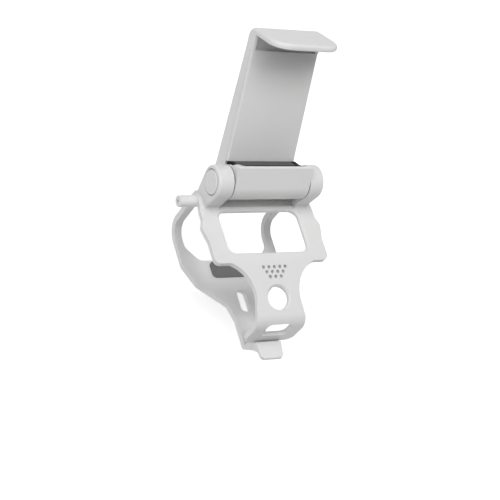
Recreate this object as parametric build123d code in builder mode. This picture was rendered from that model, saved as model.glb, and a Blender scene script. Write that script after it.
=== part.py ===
from build123d import *
import math
import os

os.makedirs("parts", exist_ok=True)

# Phone clip that clamps round a hand-held control unit.
# Origin: middle of the touch window, on the front face of the plate. +X runs
# along the hinge, +Y up the plate towards the hinge, +Z out of the plate.
# All lengths are millimetres.

# Plate
plate_wall = 2.4
plate_half_width = 30.6
tip_half_width = 32.9
shoulder_radius = 5.8
plate_top = 22.8
top_lip_depth = 9.0
slope_angle = 16.0
bend_start = -12.5
bend_radius = 18.0
chin_front = -45.6
chin_radius = 7.0
chin_bottom = -26.0
chin_half_width = 13.4
chin_flare_y = -42.6
chin_corner = 4.0
neck_half_width = 12.0
waist_half_width = 31.2
side_foot = -16.5
side_corner = 3.0
stick_notch_x = 28.5
stick_notch_y = -32.2
stick_notch_radius = 16.6
side_notch_top = 15.0
side_notch_foot = 2.8
side_notch_slant = 4.0
side_tip_slant = 7.8
side_tip_radius = 2.0

# Window, sound holes, round hole and slot
window_width = 44.0
window_height = 22.8
window_corner = 4.4
window_bevel = 0.9
sound_hole_radius = 0.85
sound_pitch = 3.0
sound_row_pitch = 2.35
sound_first_row = -18.9
sound_rows = (5, 4, 3)
home_radius = 5.65
home_bevel = 0.9
home_y = -33.2
slot_width = 14.0
slot_height = 9.6
slot_middle = -15.3

# Hinge of the phone holder
hinge_y = 19.5
hinge_z = 12.5
boss_radius = 8.2
ear_outer = 28.8
ear_inner = 21.0
ear_front = 13.3
trough_depth = 1.4
trough_front = 13.4
sill_front = 17.2
sill_back = 19.2
sill_gap = 0.35
ear_foot_radius = 1.5
ear_edge = 1.2
cap_radius = 6.1
cap_gap = 0.25
cap_seat_depth = 1.2
cap_proud = 0.4
cap_plug = 0.35
cap_edge = 0.5
bolt_radius = 2.0
bolt_clearance = 0.06
bolt_head_radius = 3.5
bolt_head_height = 3.0
head_pocket_gap = 0.4
head_pocket_floor = 24.2
nut_flats = 7.0
nut_height = 3.0
washer_thickness = 0.5
washer_radius = 6.4
washer_gap = 0.05

# Phone holder: lower jaw, stem and sliding arm, drawn leaning back
lean_angle = 56.0
shelf_front = 7.8
shelf_rim_top = 10.7
shelf_rim = 1.6
shelf_corner = 5.0
nose_back = 4.2
nose_foot = 0.5
nose_edge = 0.6
shelf_pad_floor = 6.5
shelf_pad_thickness = 1.5
pad_lip = 1.2
pad_lip_drop = 0.3
arm_front = -6.6
arm_half_width = 18.6
head_half_width = 17.7
arm_foot = 7.6
sleeve_foot = 1.0
arm_back_foot = -17.5
arm_back_head = -13.6
head_bend_drop = 8.2
head_corner_radius = 5.0
jaw_top = 72.2
jaw_thickness = 3.0
jaw_front = 13.2
jaw_corner = 8.5
jaw_lower_edge = 0.8
arm_edge = 1.5
cover_thickness = 1.8
cover_top = 62.2
cover_edge = 0.6
jaw_pocket_wall = 1.5
jaw_pad_thickness = 1.8
jaw_pad_inset = 2.0
jaw_pad_seat = 1.5
foot_gap = 0.3
foot_bottom = -3.6
foot_corner = 4.0
foot_neck_wall = 1.5
ear_back_gap = 0.4
stem_thickness = 3.5
stem_half_width = 15.5
stem_top = 58.0
stem_corner = 1.5
stem_root = -2.2
stem_gap = 0.3
press_gap = 0.02
seam_gap = 0.03
arm_wall = 1.8
spring_x = 9.0
spring_radius = 1.4
spring_wire = 0.4
spring_channel_gap = 0.5
spring_foot = 14.0
spring_head_rise = 1.6
anchor_radius = 0.8
anchor_reach = 2.9
guide_slot_half_width = 2.1
guide_post_radius = 1.8
guide_post_height = 24.0
guide_boss_radius = 3.2
guide_screw_seat = -14.4
slide_travel = 26.0
head_post_rise = 2.1
screw_radius = 1.0
screw_head_radius = 1.9
screw_head_height = 1.3
base_screw_x = 6.0
base_screw_height = -1.0
base_screw_radius = 0.8
base_head_radius = 1.3

# Rear bracket with its pin
pin_y = 18.8
pin_z = -3.0
pin_radius = 0.8
pin_clearance = 0.05
wing_radius = 2.8
wing_end_left = 39.6
wing_end_right = 30.6
wing_edge = 0.5
knuckle_radius = 2.6
knuckle_outer = 27.6
knuckle_inner = 23.6
knuckle_gap = 0.3
bracket_opening = 30.0
bracket_wall = 3.0
bracket_back = -38.0
bracket_top = 26.0
bracket_back_corner = 10.0
bracket_top_corner = 5.0
fork_web_y = 4.0
fork_arm_y = 12.0
fork_side_y = 2.0
fork_shoulder_y = -9.0
tongue_root_y = -21.0
tongue_start_y = -29.0
tongue_half_width = 7.0
tab_half_width = 6.1
tab_end = -55.0
tab_top = -24.9
tab_thickness = 1.8
tab_root_gap = 0.8
twist_spring_radius = 1.55
twist_spring_length = 2.6

# Soft strips that touch the control unit
strip_thickness = 0.8
strip_width = 5.0
strip_length = 20.0
strip_x = 27.0
back_pad_width = 26.0
back_pad_length = 9.0
back_pad_y = -1.5


lean = math.radians(lean_angle)
up_arm = (0, math.cos(lean), math.sin(lean))
out_of_arm = (0, -math.sin(lean), math.cos(lean))
hinge_point = (0, hinge_y, hinge_z)
# local x, y of side_plane are: out of the arm, up the arm
side_plane = Plane(origin=hinge_point, x_dir=out_of_arm, z_dir=(-1, 0, 0))
# local x, y of front_plane are: along the hinge, up the arm
front_plane = Plane(origin=hinge_point, x_dir=(1, 0, 0), z_dir=out_of_arm)
# local x, y of level_plane are: along the hinge, back from the arm
level_plane = Plane(origin=hinge_point, x_dir=(1, 0, 0), z_dir=up_arm)
arm_axis = Axis(hinge_point, up_arm)
out_axis = Axis(hinge_point, out_of_arm)

slope = math.radians(slope_angle)
bend_end_y = bend_start - bend_radius * math.sin(slope)
bend_end_z = -bend_radius * (1 - math.cos(slope))
chin_turn_y = chin_front + chin_radius * (1 - math.sin(slope))
chin_turn_z = bend_end_z - (bend_end_y - chin_turn_y) * math.tan(slope)
chin_centre_z = chin_turn_z - chin_radius * math.cos(slope)


def slope_z(y):
    """Height of the sloping lower face at y."""
    return bend_end_z - (bend_end_y - y) * math.tan(slope)


def slope_plane(y):
    """Plane that lies on the sloping lower face at y."""
    normal = (0, -math.sin(slope), math.cos(slope))
    return Plane(origin=(0, y, slope_z(y)), x_dir=(1, 0, 0), z_dir=normal)


def out_of(shape):
    """How far the middle of a shape lies in front of the hinge, out of the arm."""
    return (shape.center() - Vector(hinge_point)).dot(Vector(out_of_arm))


def save(part, name):
    """Label a finished piece and write its STEP file."""
    part.label = name
    export_step(part, f"parts/{name}.step")


# Faceplate: a bent wall, cut to its outline, with the two hinge ears on it
knuckle_slot = knuckle_outer - knuckle_inner + 2 * knuckle_gap
cap_seat_radius = cap_radius + cap_gap
head_pocket_radius = bolt_head_radius + head_pocket_gap
ear_width = ear_outer - ear_inner

with BuildPart() as faceplate:
    with BuildSketch(Plane.YZ):
        with BuildLine():
            lip = Line((plate_top, -top_lip_depth), (plate_top, -shoulder_radius))
            shoulder = TangentArc(lip @ 1, (plate_top - shoulder_radius, 0), tangent=lip % 1)
            flat = Line(shoulder @ 1, (bend_start, 0))
            bend = TangentArc(flat @ 1, (bend_end_y, bend_end_z), tangent=flat % 1)
            incline = Line(bend @ 1, (chin_turn_y, chin_turn_z))
            chin = TangentArc(incline @ 1, (chin_front, chin_centre_z), tangent=incline % 1)
            Line(chin @ 1, (chin_front, chin_bottom))
            offset(amount=plate_wall, side=Side.LEFT)
        make_face()
    extrude(amount=tip_half_width, both=True)
    with BuildSketch(Plane.XY.offset(1)) as outline:
        with BuildLine():
            notch_angle = math.asin((side_foot - stick_notch_y) / stick_notch_radius)
            notch_x = stick_notch_x - stick_notch_radius * math.cos(notch_angle)
            neck_angle = math.acos((stick_notch_x - neck_half_width) / stick_notch_radius)
            neck_y = stick_notch_y - stick_notch_radius * math.sin(neck_angle)
            mid_angle = (notch_angle - neck_angle) / 2
            notch_middle = (
                stick_notch_x - stick_notch_radius * math.cos(mid_angle),
                stick_notch_y + stick_notch_radius * math.sin(mid_angle),
            )
            Polyline(
                (0, plate_top),
                (plate_half_width, plate_top),
                (plate_half_width, side_notch_top),
                (waist_half_width, side_notch_top - side_notch_slant),
                (waist_half_width, side_notch_foot + side_notch_slant),
                (tip_half_width, side_notch_foot),
                (waist_half_width, side_notch_foot - side_tip_slant),
                (waist_half_width, side_foot),
                (notch_x, side_foot),
            )
            ThreePointArc((notch_x, side_foot), notch_middle, (neck_half_width, neck_y))
            Polyline(
                (neck_half_width, neck_y),
                (chin_half_width, chin_flare_y),
                (chin_half_width, chin_front - 1),
                (0, chin_front - 1),
            )
            mirror(about=Plane.YZ)
        make_face()
        foot_vertices = outline.vertices().filter_by_position(Axis.Y, side_foot - 0.01, side_foot + 0.01)
        fillet(foot_vertices, radius=side_corner)
        tip_vertices = outline.vertices().filter_by_position(
            Axis.Y, side_notch_foot - side_tip_slant - 1, side_notch_top - 1
        )
        fillet(tip_vertices, radius=side_tip_radius)
    extrude(amount=chin_bottom - 2, mode=Mode.INTERSECT)
    corner_edges = faceplate.edges().filter_by(Axis.Y).group_by(Axis.Z)[0]
    fillet(corner_edges, radius=chin_corner)

    # ears of the phone holder's hinge
    for side in (1, -1):
        with BuildSketch(Plane.YZ.offset(side * ear_inner)):
            with Locations((hinge_y, hinge_z)):
                Circle(boss_radius)
            Polygon(
                (ear_front, -trough_depth),
                (plate_top - shoulder_radius, -trough_depth),
                (plate_top - 0.1, -shoulder_radius),
                align=None,
            )
            make_hull()
        extrude(amount=side * ear_width)
    # soft outer edges of the ears
    ear_rims = faceplate.edges().filter_by_position(Axis.X, ear_outer - 0.01, ear_outer + 0.01)
    ear_rims += faceplate.edges().filter_by_position(Axis.X, -ear_outer - 0.01, -ear_outer + 0.01)
    ear_rims = ear_rims.filter_by(lambda edge: edge.center().Z > 3)
    fillet(ear_rims, radius=ear_edge)
    # hollow roundings where the ears rise from the plate
    foot_edges = faceplate.edges().filter_by_position(Axis.Z, -0.01, 0.01)
    foot_edges = foot_edges.filter_by_position(Axis.Y, ear_front - 1, plate_top - shoulder_radius)
    foot_edges = foot_edges.filter_by(lambda edge: ear_inner < abs(edge.center().X) < ear_outer + 0.01)
    fillet(foot_edges, radius=ear_foot_radius)
    # side wings: the left one stands out past the plate
    for side, wing_end in ((1, wing_end_right), (-1, wing_end_left)):
        with BuildSketch(Plane.YZ.offset(side * (ear_outer - 1))):
            with Locations((pin_y, pin_z)):
                Circle(wing_radius)
        extrude(amount=side * (wing_end - ear_outer + 1))
    # soft end of the left wing
    fillet(faceplate.edges().group_by(Axis.X)[0], radius=wing_edge)

    # trough under the barrel
    with BuildSketch(Plane.YZ):
        with Locations((trough_front, -trough_depth)):
            Rectangle(plate_top - trough_front + 2, 8, align=(Align.MIN, Align.MIN))
    extrude(amount=ear_inner, both=True, mode=Mode.SUBTRACT)
    # sill that closes the gap behind, just under the barrel
    with BuildSketch(Plane.YZ):
        with Locations((sill_front, -trough_depth - 0.5)):
            Rectangle(sill_back - sill_front, hinge_z, align=(Align.MIN, Align.MIN))
        with Locations((hinge_y, hinge_z)):
            Circle(boss_radius + sill_gap, mode=Mode.SUBTRACT)
    extrude(amount=ear_inner, both=True)

    # seats for caps, bolt head, nut and bolt
    with BuildSketch(Plane.YZ.offset(-ear_outer)):
        with Locations((hinge_y, hinge_z)):
            Circle(cap_seat_radius)
    extrude(amount=cap_seat_depth, mode=Mode.SUBTRACT)
    with BuildSketch(Plane.YZ.offset(ear_outer)):
        with Locations((hinge_y, hinge_z)):
            Circle(cap_seat_radius)
    extrude(amount=-cap_seat_depth, mode=Mode.SUBTRACT)
    with BuildSketch(Plane.YZ.offset(-head_pocket_floor)):
        with Locations((hinge_y, hinge_z)):
            Circle(head_pocket_radius)
    extrude(amount=head_pocket_floor - ear_outer, mode=Mode.SUBTRACT)
    with BuildSketch(Plane.YZ.offset(head_pocket_floor)):
        with Locations((hinge_y, hinge_z)):
            RegularPolygon(nut_flats / 2 + press_gap, 6, major_radius=False)
    extrude(amount=ear_outer - head_pocket_floor, mode=Mode.SUBTRACT)
    with BuildSketch(Plane.YZ):
        with Locations((hinge_y, hinge_z)):
            Circle(bolt_radius + bolt_clearance)
    extrude(amount=ear_outer, both=True, mode=Mode.SUBTRACT)

    # slots for the bracket's knuckles, and the bore of its pin
    swing = math.radians(bracket_opening)
    strap_gap = bracket_wall / 2 + knuckle_gap
    strap_reach = bracket_top - pin_y + 1
    swing_root = (pin_y - strap_gap * math.sin(swing), pin_z + strap_gap * math.cos(swing))
    swing_tip = (
        swing_root[0] + strap_reach * math.cos(swing),
        swing_root[1] + strap_reach * math.sin(swing),
    )
    knuckle_front = pin_y - knuckle_radius - knuckle_gap
    for side in (1, -1):
        with BuildSketch(Plane.YZ.offset(side * (knuckle_inner - knuckle_gap))):
            with Locations((pin_y, pin_z)):
                Circle(knuckle_radius + knuckle_gap)
            Polygon(
                (knuckle_front, pin_z),
                (knuckle_front, -top_lip_depth - 1),
                (pin_y + strap_reach, -top_lip_depth - 1),
                swing_tip,
                swing_root,
                align=None,
            )
        extrude(amount=side * knuckle_slot, mode=Mode.SUBTRACT)
    with BuildSketch(Plane.YZ):
        with Locations((pin_y, pin_z)):
            Circle(pin_radius + pin_clearance)
    extrude(amount=wing_end_left + 1, both=True, mode=Mode.SUBTRACT)

    # touch window with its bevel
    with BuildSketch(Plane.XY.offset(-plate_wall - 1)):
        RectangleRounded(window_width, window_height, window_corner)
    extrude(amount=plate_wall + 2, mode=Mode.SUBTRACT)
    with BuildSketch(Plane.XY) as bevel_top:
        RectangleRounded(
            window_width + 2 * window_bevel,
            window_height + 2 * window_bevel,
            window_corner + window_bevel,
        )
    extrude(amount=-window_bevel, taper=45, mode=Mode.SUBTRACT)

    # round hole, sound holes and the slot in the chin
    with Locations(slope_plane(home_y)):
        CounterSinkHole(
            home_radius,
            home_radius + home_bevel,
            depth=plate_wall + 2,
            counter_sink_angle=90,
        )
    for row, count in enumerate(sound_rows):
        row_y = sound_first_row - row * sound_row_pitch * math.cos(slope)
        with Locations(slope_plane(row_y)):
            with GridLocations(sound_pitch, 1, count, 1):
                Hole(sound_hole_radius, depth=plate_wall + 1)
    with BuildSketch(Plane.XZ.offset(-chin_front + 1)):
        with Locations((0, slot_middle)):
            SlotOverall(slot_width, slot_height - 2.6)
            RectangleRounded(slot_width, slot_height, 2.6)
    extrude(amount=-plate_wall - 3, mode=Mode.SUBTRACT)

save(faceplate.part, "faceplate")

# Hinge caps: a domed disc with a plug in the counterbore
for side, name in ((-1, "hinge_cap_left"), (1, "hinge_cap_right")):
    with BuildPart() as cap:
        with BuildSketch(Plane.YZ.offset(side * (ear_outer - cap_seat_depth))):
            with Locations((hinge_y, hinge_z)):
                Circle(cap_radius)
        extrude(amount=side * (cap_seat_depth + cap_proud))
        rim = cap.edges().group_by(Axis.X)[-1 if side > 0 else 0]
        fillet(rim, radius=cap_edge)
        with BuildSketch(Plane.YZ.offset(side * (ear_outer - cap_seat_depth))):
            with Locations((hinge_y, hinge_z)):
                Circle(nut_flats / 2 - 0.3)
                Circle(nut_flats / 2 - 1.3, mode=Mode.SUBTRACT)
        extrude(amount=-side * cap_plug)
    save(cap.part, name)

# Hinge bolt with a socket head, its nut and the two friction washers
with BuildPart() as hinge_bolt:
    with BuildSketch(Plane.YZ.offset(-head_pocket_floor)):
        with Locations((hinge_y, hinge_z)):
            Circle(bolt_head_radius)
    extrude(amount=-bolt_head_height)
    with BuildSketch(Plane.YZ.offset(-head_pocket_floor)):
        with Locations((hinge_y, hinge_z)):
            Circle(bolt_radius)
    extrude(amount=2 * head_pocket_floor + nut_height)
    with BuildSketch(Plane.YZ.offset(-head_pocket_floor - bolt_head_height)):
        with Locations((hinge_y, hinge_z)):
            RegularPolygon(1.6, 6)
    extrude(amount=1.8, mode=Mode.SUBTRACT)
save(hinge_bolt.part, "hinge_bolt")

with BuildPart() as hinge_nut:
    with BuildSketch(Plane.YZ.offset(head_pocket_floor)):
        with Locations((hinge_y, hinge_z)):
            RegularPolygon(nut_flats / 2, 6, major_radius=False)
            Circle(bolt_radius + press_gap, mode=Mode.SUBTRACT)
    extrude(amount=nut_height)
save(hinge_nut.part, "hinge_nut")

for side, name in ((-1, "friction_washer_left"), (1, "friction_washer_right")):
    with BuildPart() as washer:
        with BuildSketch(Plane.YZ.offset(side * ear_inner)):
            with Locations((hinge_y, hinge_z)):
                Circle(washer_radius)
                Circle(bolt_radius + bolt_clearance, mode=Mode.SUBTRACT)
        extrude(amount=-side * washer_thickness)
    save(washer.part, name)

# Lower jaw: the barrel, the shelf with its rim, and the foot that holds the stem
barrel_half_width = ear_inner - washer_thickness - washer_gap
stem_front = arm_front - cover_thickness - seam_gap - stem_gap
stem_back = stem_front - stem_thickness

nose_reach = math.hypot(shelf_front, shelf_rim_top)
nose_angle = math.atan2(shelf_rim_top, shelf_front) - math.acos(boss_radius / nose_reach)
foot_top = sleeve_foot - foot_gap
block_half_width = stem_half_width - 0.1
floor_back = arm_front + foot_gap

with BuildPart() as lower_jaw:
    # barrel with a nose in front, tangent to it
    with BuildSketch(side_plane):
        Circle(boss_radius)
        Polygon(
            (0, 0),
            (boss_radius * math.cos(nose_angle), boss_radius * math.sin(nose_angle)),
            (shelf_front, shelf_rim_top),
            (nose_back, shelf_rim_top),
            (nose_foot, boss_radius - 0.05),
            align=None,
        )
        Polygon(
            (0, 0),
            (floor_back, 0),
            (floor_back, shelf_pad_floor),
            (0, shelf_pad_floor),
            align=None,
        )
    extrude(amount=barrel_half_width, both=True)
    fillet(lower_jaw.faces().sort_by(arm_axis)[-1].edges(), radius=nose_edge)
    with BuildSketch(level_plane.offset(shelf_pad_floor)) as pad_seat:
        with Locations((0, -shelf_front + shelf_rim)):
            Rectangle(
                2 * (barrel_half_width - shelf_rim),
                shelf_front - shelf_rim - floor_back + 4,
                align=(Align.CENTER, Align.MIN),
            )
        fillet(pad_seat.vertices().group_by(Axis.Y)[0], radius=shelf_corner - shelf_rim)
    extrude(amount=shelf_rim_top, mode=Mode.SUBTRACT)
    # block in front of the stem, under the cover
    with BuildSketch(side_plane):
        Polygon(
            (0, 0),
            (stem_front, 0),
            (stem_front, arm_foot - foot_gap),
            (arm_front - 0.2, arm_foot - foot_gap),
            (arm_front - 0.2, shelf_pad_floor),
            (0, shelf_pad_floor),
            align=None,
        )
    extrude(amount=block_half_width, both=True)
    # foot behind the barrel, under the sleeve: a neck, and a base behind the ears
    with BuildSketch(side_plane):
        with Locations((-boss_radius - ear_back_gap - 1, foot_bottom)):
            Rectangle(
                boss_radius + ear_back_gap + 1,
                foot_top - foot_bottom,
                align=(Align.MIN, Align.MIN),
            )
    extrude(amount=stem_half_width + foot_neck_wall, both=True)
    with BuildSketch(side_plane) as foot_profile:
        with Locations((arm_back_foot, foot_bottom)):
            Rectangle(
                -arm_back_foot - boss_radius - ear_back_gap,
                foot_top - foot_bottom,
                align=(Align.MIN, Align.MIN),
            )
        back_corner = foot_profile.vertices().group_by(Axis.Y)[0].sort_by(Axis.X)[0]
        fillet(back_corner, radius=foot_corner)
    extrude(amount=arm_half_width, both=True)
    with BuildSketch(level_plane.offset(stem_root)):
        with Locations((0, -(stem_front + stem_back) / 2)):
            Rectangle(2 * (stem_half_width - 0.4 + press_gap), stem_thickness + 2 * press_gap)
    extrude(amount=arm_foot - stem_root + 1, mode=Mode.SUBTRACT)
    # holes of the two stem screws, sunk from behind
    for x in (-base_screw_x, base_screw_x):
        with BuildSketch(front_plane.offset(arm_back_foot)):
            with Locations((x, base_screw_height)):
                Circle(base_head_radius + 0.3)
        extrude(amount=stem_back - arm_back_foot - 1.6, mode=Mode.SUBTRACT)
        with BuildSketch(front_plane.offset(arm_back_foot)):
            with Locations((x, base_screw_height)):
                Circle(base_screw_radius + press_gap)
        extrude(amount=stem_back - arm_back_foot, mode=Mode.SUBTRACT)
    with BuildSketch(side_plane):
        Circle(bolt_radius + bolt_clearance)
    extrude(amount=barrel_half_width, both=True, mode=Mode.SUBTRACT)
save(lower_jaw.part, "lower_jaw")

with BuildPart() as shelf_pad:
    with BuildSketch(level_plane.offset(shelf_pad_floor)) as pad_outline:
        with Locations((0, -shelf_front + shelf_rim + press_gap)):
            Rectangle(
                2 * (barrel_half_width - shelf_rim - press_gap),
                shelf_front - shelf_rim - floor_back - press_gap,
                align=(Align.CENTER, Align.MIN),
            )
        fillet(pad_outline.vertices().group_by(Axis.Y)[0], radius=shelf_corner - shelf_rim)
    extrude(amount=shelf_rim_top - pad_lip_drop - shelf_pad_floor)
    # only a lip stands up behind the rim
    with BuildSketch(level_plane.offset(shelf_pad_floor + shelf_pad_thickness)):
        with Locations((0, -shelf_front + shelf_rim + press_gap + pad_lip)):
            Rectangle(
                2 * barrel_half_width,
                shelf_front - floor_back,
                align=(Align.CENTER, Align.MIN),
            )
    extrude(amount=shelf_rim_top, mode=Mode.SUBTRACT)
save(shelf_pad.part, "shelf_pad")

# Stem: the flat rail on which the arm slides, with two spring channels behind
channel_half_width = spring_radius + spring_channel_gap
spring_head = stem_top + spring_head_rise
head_post_height = stem_top + head_post_rise
spring_w = stem_back + channel_half_width - spring_channel_gap / 2

with BuildPart() as stem:
    with BuildSketch(front_plane.offset(stem_back)) as stem_outline:
        with Locations((0, stem_root)):
            Rectangle(
                2 * (stem_half_width - 0.4),
                stem_top - stem_root,
                align=(Align.CENTER, Align.MIN),
            )
        with Locations((0, arm_foot - foot_gap)):
            Rectangle(
                2 * stem_half_width,
                stem_top - arm_foot + foot_gap,
                align=(Align.CENTER, Align.MIN),
            )
        fillet(stem_outline.vertices().group_by(Axis.Y)[-1], radius=stem_corner)
    extrude(amount=stem_thickness)
    for x in (-spring_x, spring_x):
        with BuildSketch(front_plane.offset(stem_back)):
            with Locations((x, spring_foot - anchor_reach)):
                Rectangle(
                    2 * channel_half_width,
                    stem_top - spring_foot + anchor_reach + 1,
                    align=(Align.CENTER, Align.MIN),
                )
        extrude(amount=2 * channel_half_width - spring_channel_gap, mode=Mode.SUBTRACT)
    slot_length = slide_travel + 2 * guide_slot_half_width
    with BuildSketch(front_plane.offset(stem_back)):
        with Locations((0, guide_post_height + slide_travel / 2)):
            SlotOverall(slot_length, 2 * guide_slot_half_width, rotation=90)
    extrude(amount=stem_thickness, mode=Mode.SUBTRACT)
    for x in (-base_screw_x, base_screw_x):
        with BuildSketch(front_plane.offset(stem_back)):
            with Locations((x, base_screw_height)):
                Circle(base_screw_radius + press_gap)
        extrude(amount=stem_thickness - 0.6, mode=Mode.SUBTRACT)
    # bores of the two lower spring anchors
    with BuildSketch(side_plane):
        with Locations((spring_w, spring_foot)):
            Circle(anchor_radius + press_gap)
    extrude(amount=spring_x + anchor_reach, both=True, mode=Mode.SUBTRACT)
save(stem.part, "stem")

with BuildPart() as stem_screws:
    for x in (-base_screw_x, base_screw_x):
        with BuildSketch(front_plane.offset(stem_back - 1.6)):
            with Locations((x, base_screw_height)):
                Circle(base_head_radius)
        extrude(amount=-screw_head_height)
        with BuildSketch(front_plane.offset(stem_back - 1.6)):
            with Locations((x, base_screw_height)):
                Circle(base_screw_radius)
        extrude(amount=stem_thickness + 0.9)
save(stem_screws.part, "stem_screws")

# Lower spring anchors: one cross pin in each channel
for side, name in ((-1, "spring_anchor_left"), (1, "spring_anchor_right")):
    with BuildPart() as anchor:
        with BuildSketch(side_plane.offset(-side * spring_x)):
            with Locations((spring_w, spring_foot)):
                Circle(anchor_radius)
        extrude(amount=anchor_reach, both=True)
    save(anchor.part, name)

# Tension springs: the coil's outer shape, with an end loop round each anchor
for side, name in ((-1, "spring_left"), (1, "spring_right")):
    with BuildPart() as spring:
        loop_radius = anchor_radius + 0.15
        coil_foot = spring_foot + loop_radius + spring_wire / 2
        coil_head = spring_head - loop_radius - spring_wire / 2
        coil_plane = level_plane.offset(coil_foot)
        with BuildSketch(coil_plane):
            with Locations((side * spring_x, -spring_w)):
                Circle(spring_radius)
        extrude(amount=coil_head - coil_foot)
        for height in (spring_foot, spring_head):
            with BuildSketch(side_plane.offset(-side * spring_x)):
                with Locations((spring_w, height)):
                    Circle(loop_radius + spring_wire)
                    Circle(loop_radius, mode=Mode.SUBTRACT)
            extrude(amount=spring_wire, both=True)
    save(spring.part, name)

# Arm: hollow sleeve with the hooked upper jaw, in one moulding
cavity_back = stem_back - stem_gap
cavity_half_width = stem_half_width + stem_gap
cover_back = arm_front - cover_thickness
cavity_top = cover_top - 1.0
hollow_top_back = arm_back_head + arm_wall
jaw_underside = jaw_top - jaw_thickness


def half_width_at(height):
    """Half the width of the arm, which draws in towards its head."""
    share = (height - sleeve_foot) / (jaw_top - sleeve_foot)
    return arm_half_width + (head_half_width - arm_half_width) * share


with BuildPart() as arm:
    with BuildSketch(side_plane) as arm_profile:
        Polygon(
            (cover_back - seam_gap, sleeve_foot),
            (arm_back_foot, sleeve_foot),
            (arm_back_head, jaw_top - head_bend_drop),
            (arm_back_head, jaw_top),
            (jaw_front, jaw_top),
            (jaw_front, jaw_top - jaw_thickness),
            (arm_front, jaw_top - jaw_thickness),
            (arm_front, cover_top + seam_gap),
            (cover_back - seam_gap, cover_top + seam_gap),
            align=None,
        )
        head_corner = arm_profile.vertices().group_by(Axis.Y)[-1].sort_by(Axis.X)[0]
        fillet(head_corner, radius=head_corner_radius)
    extrude(amount=arm_half_width, both=True)
    with BuildSketch(front_plane.offset(arm_back_foot - 1)):
        Polygon(
            (-arm_half_width, sleeve_foot),
            (arm_half_width, sleeve_foot),
            (head_half_width, jaw_top),
            (-head_half_width, jaw_top),
            align=None,
        )
    extrude(amount=jaw_front - arm_back_foot + 2, mode=Mode.INTERSECT)
    upright = arm.edges().filter_by(lambda edge: abs((edge % 0.5).dot(Vector(up_arm))) > 0.999)
    fillet(upright.group_by(out_axis)[-1], radius=jaw_corner)
    # one rounding runs up the back corners, over the head and round the jaw
    side_faces = arm.faces().filter_by(lambda face: abs(face.normal_at().X) > 0.99)
    side_edges = ShapeList(edge for face in side_faces for edge in face.edges())
    back_edges = side_edges.filter_by(lambda edge: out_of(edge) < arm_back_head + 3)
    back_edges = back_edges.filter_by(lambda edge: abs((edge % 0.5).dot(Vector(out_of_arm))) < 0.9)
    top_edges = arm.faces().sort_by(arm_axis)[-1].edges()
    front_edges = top_edges.filter_by(lambda edge: out_of(edge) > arm_back_head + 6)
    fillet(back_edges + front_edges, radius=arm_edge)
    # softer lower edge of the jaw
    jaw_faces = arm.faces().filter_by(lambda face: face.normal_at().dot(Vector(up_arm)) < -0.999)
    lower_edges = jaw_faces.sort_by(arm_axis)[-1].edges()
    lower_edges = lower_edges.filter_by(lambda edge: out_of(edge) > arm_front + 1)
    fillet(lower_edges, radius=jaw_lower_edge)
    # shallow pocket in front, between the cover and the jaw
    with BuildSketch(front_plane.offset(cover_back - seam_gap)):
        with Locations((0, cover_top)):
            Rectangle(
                2 * (head_half_width - jaw_pocket_wall),
                jaw_top - jaw_thickness - cover_top,
                align=(Align.CENTER, Align.MIN),
            )
    extrude(amount=cover_thickness + 1, mode=Mode.SUBTRACT)
    # straight cavity for the stem, and the tapered hollow behind it
    with BuildSketch(front_plane.offset(cavity_back)):
        with Locations((0, sleeve_foot - 1)):
            Rectangle(
                2 * cavity_half_width,
                cavity_top - sleeve_foot + 1,
                align=(Align.CENTER, Align.MIN),
            )
    extrude(amount=cover_back - cavity_back, mode=Mode.SUBTRACT)
    with BuildSketch(side_plane):
        Polygon(
            (cavity_back + 0.1, sleeve_foot - 1),
            (arm_back_foot + arm_wall, sleeve_foot - 1),
            (min(hollow_top_back, cavity_back - 0.2), cavity_top - 3),
            (cavity_back + 0.1, cavity_top - 3),
            align=None,
        )
    extrude(amount=cavity_half_width - 1.2, both=True, mode=Mode.SUBTRACT)
    # posts: one rides in the stem's slot, one stands above the stem
    for height in (guide_post_height, head_post_height):
        with BuildSketch(front_plane.offset(arm_back_head + 0.6)):
            with Locations((0, height)):
                Circle(guide_post_radius)
        extrude(amount=cover_back - seam_gap - arm_back_head - 0.6)
    with BuildSketch(front_plane.offset(cavity_back)):
        with Locations((0, guide_post_height)):
            Circle(guide_boss_radius)
    extrude(amount=guide_screw_seat - cavity_back - 0.8)
    # two ears for the upper spring anchor
    for side in (1, -1):
        with BuildSketch(side_plane.offset(side * (spring_x + 3.2))):
            with Locations((cavity_back - 0.2, stem_top + 0.4)):
                Rectangle(
                    cover_back - seam_gap - cavity_back + 0.2,
                    cavity_top - stem_top,
                    align=(Align.MIN, Align.MIN),
                )
        extrude(amount=side * (cavity_half_width - spring_x - 2.2))
    with BuildSketch(side_plane):
        with Locations((spring_w, spring_head)):
            Circle(anchor_radius + press_gap)
    extrude(amount=spring_x + 4.6, both=True, mode=Mode.SUBTRACT)
    # cover screws, driven in from the back
    head_screw_seat = cavity_back + 0.2
    screw_places = ((guide_post_height, guide_screw_seat), (head_post_height, head_screw_seat))
    for height, seat in screw_places:
        with BuildSketch(front_plane.offset(cover_back)):
            with Locations((0, height)):
                Circle(screw_radius + press_gap)
        extrude(amount=-14, mode=Mode.SUBTRACT)
        with BuildSketch(front_plane.offset(seat)):
            with Locations((0, height)):
                Circle(screw_head_radius + 0.3)
        extrude(amount=-14, mode=Mode.SUBTRACT)
    # seat of the pad under the jaw
    with BuildSketch(level_plane.offset(jaw_underside)) as jaw_seat:
        with Locations((0, -jaw_front + jaw_pad_inset - press_gap)):
            Rectangle(
                2 * (head_half_width - jaw_pad_inset + press_gap),
                jaw_front - jaw_pad_inset - arm_front - 0.4 + 2 * press_gap,
                align=(Align.CENTER, Align.MIN),
            )
        fillet(jaw_seat.vertices().group_by(Axis.Y)[0], radius=jaw_corner - jaw_pad_inset)
    extrude(amount=jaw_pad_seat, mode=Mode.SUBTRACT)
save(arm.part, "arm")

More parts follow.
